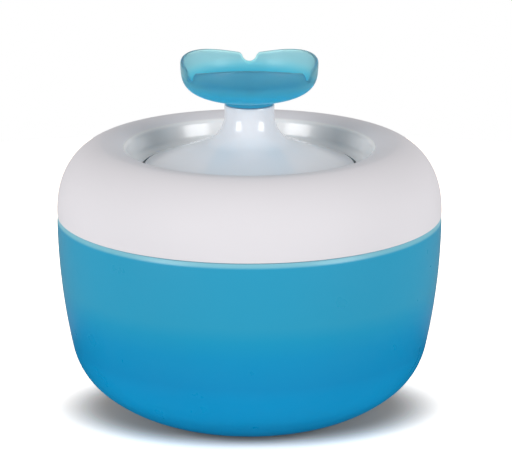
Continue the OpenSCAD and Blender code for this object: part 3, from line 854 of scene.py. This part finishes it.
def ring_outline(r_in, r_out, z0, z1, edge, rows):
    """A flat ring's section with rounded edges, as (radius, height, outward radius, outward height)."""
    flat = [r_in + edge + (r_out - r_in - 2 * edge) * i / rows for i in range(rows + 1)]
    outline = [(r, z1, 0, 1) for r in flat]
    for a0, r, z in ((0, r_out - edge, z1 - edge), (90, r_out - edge, z0 + edge),
                     (180, r_in + edge, z0 + edge), (270, r_in + edge, z1 - edge)):
        for k in range(1, 5):
            a = a0 + 22.5 * k
            outline.append((r + edge * sin(a), z + edge * cos(a), sin(a), cos(a)))
        if a0 == 90:
            outline += [(r, z0, 0, -1) for r in flat[-2:0:-1]]
    return outline


def soft_ring(name, r_out, z0, z1, edge, uneven, columns, rows):
    """A flat ring round the filter's hub whose faces are a little uneven, always inside its limits."""
    outline = ring_outline(FILTER_IN, r_out, z0, z1, edge, rows)
    verts, faces = [], []
    for k in range(columns):
        angle = 360 * k / columns
        for r, z, out_r, out_z in outline:
            x, y = r * cos(angle), r * sin(angle)
            inward = worn((x, y, z), 0.35, uneven) + worn((x, y, z + 50), 1.6, uneven * 0.4)
            inward = min(inward, (z1 - z0) / 2)
            reach = r - out_r * inward
            verts.append((reach * cos(angle), reach * sin(angle), z - out_z * inward))
    size = len(outline)
    for k in range(columns):
        m = (k + 1) % columns
        for i in range(size):
            j = (i + 1) % size
            faces.append([k * size + i, m * size + i, m * size + j, k * size + j])
    obj = add_object(name, verts, faces)
    face_outwards(obj)
    return obj


def make_fleece(mat):
    low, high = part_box("filter_fleece")
    obj = soft_ring("fleece_pad", high.x / MM, low.z / MM, high.z / MM, 1.4, 0.7, 220, 22)
    dress(obj, "filter_body", mat, "filter_fleece")


def loose_grains(r_out, top):
    """Crushed grains of random size and turn, all over the ring, with their tops at or under a height."""
    draw = random.Random(7)
    ball = bmesh.new()
    bmesh.ops.create_icosphere(ball, subdivisions=1, radius=1)
    corners = [vert.co.copy() for vert in ball.verts]
    sides = [[vert.index for vert in face.verts] for face in ball.faces]
    ball.free()
    verts, faces = [], []
    for _ in range(GRAIN_COUNT):
        size = GRAIN_R * draw.uniform(0.6, 1.0)
        r = math.sqrt(draw.uniform((FILTER_IN + GRAIN_R) ** 2, (r_out - GRAIN_R) ** 2))
        angle = draw.uniform(0, 360)
        at = Vector((r * cos(angle), r * sin(angle), top - GRAIN_R - draw.uniform(0.0, 0.4)))
        axis = Vector((draw.random(), draw.random(), 0.3)).normalized()
        tilt = Matrix.Rotation(draw.uniform(0, 2 * math.pi), 3, axis)
        faces += [[len(verts) + i for i in side] for side in sides]
        verts += [at + tilt @ corner * size * draw.uniform(0.6, 0.97) for corner in corners]
    return add_object("grains", verts, faces)


def make_carbon(mat):
    """A bed of granules: an uneven body with loose grains on it."""
    low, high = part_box("carbon_bed")
    r_out, top = high.x / MM, high.z / MM
    obj = soft_ring("carbon_granules", r_out, low.z / MM, top - GRAIN_R, 0.5, 0.5, 260, 26)
    grains = loose_grains(r_out, top)
    work = bmesh.new()
    work.from_mesh(obj.data)
    work.from_mesh(grains.data)
    work.to_mesh(obj.data)
    work.free()
    bpy.data.objects.remove(grains)
    dress(obj, "filter_body", mat, "carbon_bed")
    obj.data.shade_flat()


def soft_square(half, corner, corner_steps=6, side_steps=16):
    """A square with round corners, as (x, z) points once round."""
    flat = half - corner
    around = []
    sides = ((1, 1, -1, 0), (-1, 1, 0, -1), (-1, -1, 1, 0), (1, -1, 0, 1))
    for quadrant, (sx, sz, nx, nz) in enumerate(sides):
        for k in range(corner_steps + 1):
            a = 90 * (quadrant + k / corner_steps)
            around.append((sx * flat + corner * cos(a), sz * flat + corner * sin(a)))
        x, z = around[-1]
        for k in range(1, side_steps):
            reach = 2 * flat * k / side_steps
            around.append((x + nx * reach, z + nz * reach))
    return around


def make_foam(mat):
    """A cut block of foam with round corners, uneven faces and a fine crease along both faces' edges."""
    low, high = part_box("foam_prefilter")
    front, rear = low.y / MM, high.y / MM
    half = high.x / MM
    mid_z = (low.z + high.z) / 2 / MM
    edge, sunk, steps = 1.0, 0.2, 10
    around = soft_square(half, 4.5)
    face = (0.2, 0.4, 0.6, 0.8, 0.9)
    crease = [edge * (1 - sin(a)) for a in (90, 60, 30)]
    layers = [(front, s) for s in face] + [(front + into, 1 - into / half) for into in crease]
    layers += [(front + edge + (rear - front - 2 * edge) * i / steps, 1) for i in range(steps + 1)]
    layers += [(rear - into, 1 - into / half) for into in crease[::-1]] + [(rear, s) for s in face[::-1]]
    verts = [(0, front + sunk, mid_z)]
    for y, s in layers:
        towards_middle = 0 if s == 1 else 1 if y < (front + rear) / 2 else -1
        for x, z in around:
            inward = worn((x * s, y, z * s), 0.5, 0.35)
            shrink = s * (1 - inward / half)
            verts.append((x * shrink, y + towards_middle * inward, mid_z + z * shrink))
    verts.append((0, rear - sunk, mid_z))
    count = len(around)
    last = 1 + (len(layers) - 1) * count
    faces = []
    for k in range(count):
        m = (k + 1) % count
        faces.append([0, 1 + k, 1 + m])
        for a in range(1, last, count):
            faces.append([a + k, a + count + k, a + count + m, a + m])
        faces.append([last + k, len(verts) - 1, last + m])
    obj = add_object("foam_block", verts, faces)
    face_outwards(obj)
    dress(obj, "pump_body", mat, "foam_prefilter")


make_fleece(fleece_look())
make_carbon(carbon_look())
make_foam(foam_look())


# ---------------------------------------------------------------- CAD nodes that stay, with their finish
def rubber(name, colour, roughness=0.72, **values):
    """Soft rubber with a fine matt skin and faint bloom."""
    mat = new_material(name, **values)
    tint(mat, noise(mat, 160, 5.0), [(0.3, colour), (0.75, toned(colour, 1.35))])
    uneven_roughness(mat, 220, roughness - 0.08, roughness + 0.08)
    grain(mat, 1800, 0.25)
    return mat


def moulded(name, colour, roughness, spark=0.14, **values):
    """Moulded plastic with a spark-eroded skin and slight flow marks."""
    mat = new_material(name, **values)
    tint(mat, noise(mat, 24, 6.0, 0.6), [(0.35, toned(colour, 0.88)), (0.65, colour)])
    uneven_roughness(mat, 90, roughness - 0.06, roughness + 0.06)
    grain(mat, 1500, spark)
    return mat


def banded(name, colour, direction, pitch, depth, **values):
    """Thin bands side by side, as of laminations or windings; pitch and depth in millimetres."""
    mat = new_material(name, **values)
    bands = add_node(mat, "ShaderNodeTexWave", bands_direction=direction,
                     Scale=math.pi / (10 * pitch * MM), Distortion=0.3)
    link(mat, object_point(mat), bands.inputs["Vector"])
    line = bands.outputs["Fac"]
    tint(mat, line, [(0.1, toned(colour, 0.45)), (0.4, colour)])
    uneven_roughness(mat, 300, 0.26, 0.42)
    relief(mat, line, 0.8, depth * MM)
    return mat


def finish_nodes(mat, *nodes):
    for node in nodes:
        materials = frame["nodes"][node].data.materials
        materials.clear()
        materials.append(mat)


CLEAR = {"transmission_weight": 0.6, "ior": 1.42}
MILKY = {"transmission_weight": 0.45, "ior": 1.42}
finish_nodes(rubber("foot_rubber", rgb(46, 47, 50)), "rubber_feet")
finish_nodes(rubber("gland_rubber", rgb(96, 98, 101)), "cable_gland")
finish_nodes(rubber("seal_rubber", rgb(24, 24, 25), 0.5), "spout_o_ring")
finish_nodes(rubber("bush_rubber", rgb(30, 30, 31)), "shaft_bush_front", "shaft_bush_rear")
finish_nodes(rubber("sucker_rubber", rgb(168, 182, 192), 0.4, **MILKY), "suction_cups")
finish_nodes(moulded("pump_plastic", rgb(42, 45, 49), 0.42), "pump_housing", "pump_front_cover")
finish_nodes(moulded("cage_plastic", rgb(46, 62, 78), 0.42), "prefilter_cage")
finish_nodes(moulded("dial_plastic", rgb(34, 96, 168), 0.3, 0.06), "flow_dial")
finish_nodes(moulded("tray_plastic", rgb(226, 226, 228), 0.4), "filter_tray")
finish_nodes(moulded("filter_plastic", rgb(234, 235, 235), 0.36, 0.08), "filter_frame")
finish_nodes(moulded("riser_plastic", rgb(214, 222, 226), 0.24, 0.04, **CLEAR), "riser_tube")
finish_nodes(moulded("impeller_plastic", rgb(226, 222, 208), 0.26, 0.05), "impeller")
finish_nodes(moulded("magnet", rgb(58, 58, 61), 0.5, 0.4, metallic=0.35), "rotor_magnet")
finish_nodes(moulded("shaft_ceramic", rgb(238, 236, 228), 0.12, 0.03, coat_weight=0.6), "rotor_shaft")
finish_nodes(banded("core_steel", rgb(128, 130, 134), "Y", 0.5, 0.08, metallic=0.9), "stator_core")
finish_nodes(banded("coil_copper", rgb(196, 104, 52), "X", 0.45, 0.15, metallic=0.85), "stator_coil")


# ---------------------------------------------------------------- stage, light and camera
def stage():
    """A white disc; seen directly it is bright enough to reach white, and it keeps the object's shadow.
    Round the object its tone is darker: a painted shadow seen directly, and a painted shade in reflections.
    """
    rim = [(FLOOR_R * cos(a), FLOOR_R * sin(a), 0) for a in range(0, 360, 3)]
    floor = add_object("floor", rim, [list(range(len(rim)))])
    mat = bpy.data.materials.new("floor_white")
    mat.use_nodes = True
    mat.node_tree.nodes.remove(shader_of(mat))
    matt = add_node(mat, "ShaderNodeBsdfDiffuse")
    link(mat, matt.outputs["BSDF"], mat.node_tree.nodes["Material Output"].inputs["Surface"])
    scaled = add_node(mat, "ShaderNodeVectorMath", operation="MULTIPLY")
    link(mat, object_point(mat), scaled.inputs[0])
    scaled.inputs[1].default_value = (1, FLOOR_SQUASH, 1)
    away = add_node(mat, "ShaderNodeVectorMath", operation="LENGTH")
    link(mat, scaled.outputs["Vector"], away.inputs[0])
    out = away.outputs["Value"]
    # Round the object the floor's tone is darker: a painted shadow seen directly, and a painted shade in
    # mirror reflections.
    direct = blend(mat, eased(mat, out, FLOOR_FADE), FLOOR_SHADOW_TONE, FLOOR_FAR)
    mirrored = blend(mat, eased(mat, out, MIRROR_FADE), MIRROR_SHADE_TONE, MIRROR_FAR)
    tone = blend(mat, seen_by(mat, "Is Glossy Ray"), (FLOOR_TONE,) * 3, mirrored)
    tone = blend(mat, seen_by(mat, "Is Camera Ray", "Is Transmission Ray"), tone, direct)
    link(mat, tone, matt.inputs["Color"])
    floor.data.materials.append(mat)


def world():
    """White to the camera; soft light is stronger from behind, and reflections darken towards the sides."""
    studio = bpy.data.worlds.new("studio")
    bpy.context.scene.world = studio
    studio.use_nodes = True
    ray = add_node(studio, "ShaderNodeTexCoord").outputs["Generated"]
    across = add_node(studio, "ShaderNodeMath", operation="ABSOLUTE")
    link(studio, along(studio, ray, "X"), across.inputs[0])
    soft = eased(studio, along(studio, ray, "Y"), (-1, 1), (WORLD_FRONT, WORLD_REAR))
    gloss = eased(studio, across.outputs[0], SIDES_FADE, (WORLD_GLOSS, WORLD_SIDES))
    tone = blend(studio, seen_by(studio, "Is Glossy Ray"), soft, gloss)
    tone = blend(studio, seen_by(studio, "Is Camera Ray", "Is Transmission Ray"), tone, (1.0, 1.0, 1.0))
    link(studio, tone, studio.node_tree.nodes["Background"].inputs["Color"])


def softbox(name, azimuth, elevation, distance, width, height, power):
    """A rectangular lamp round the object; azimuth 0 is in front of it and 90 to its right."""
    lamp = bpy.data.lights.new(name, "AREA")
    lamp.shape = "RECTANGLE"
    lamp.size, lamp.size_y = width, height
    lamp.energy = power
    obj = bpy.data.objects.new(name, lamp)
    bpy.context.collection.objects.link(obj)
    level = distance * cos(elevation)
    offset = Vector((level * sin(azimuth), -level * cos(azimuth), distance * sin(elevation)))
    obj.location = LIGHTS_AIM + offset
    obj.rotation_euler = (-offset).to_track_quat("-Z", "Y").to_euler()


def camera():
    """The camera of the fit, turned so that the object's axis stands at AIM_PIXEL."""
    lens = bpy.data.cameras.new("camera")
    lens.sensor_width = SENSOR
    lens.lens = FOCAL_PIXELS * SENSOR / FRAME_W
    obj = bpy.data.objects.new("camera", lens)
    bpy.context.collection.objects.link(obj)
    ahead = Vector((0, math.cos(VIEW_TILT), -math.sin(VIEW_TILT)))
    up = Vector((0, math.sin(VIEW_TILT), math.cos(VIEW_TILT)))
    obj.location = Vector((0, 0, AIM_Z)) - ahead * VIEW_DISTANCE
    middle = (ahead + Vector((1, 0, 0)) * (FRAME_W / 2 - AIM_PIXEL[0]) / FOCAL_PIXELS
              + up * (AIM_PIXEL[1] - FRAME_H / 2) / FOCAL_PIXELS)
    obj.rotation_euler = middle.to_track_quat("-Z", "Y").to_euler()
    bpy.context.scene.camera = obj


stage()
world()
for light in LIGHTS:
    softbox(*light)
camera()
bpy.context.scene.view_settings.view_transform = "Standard"
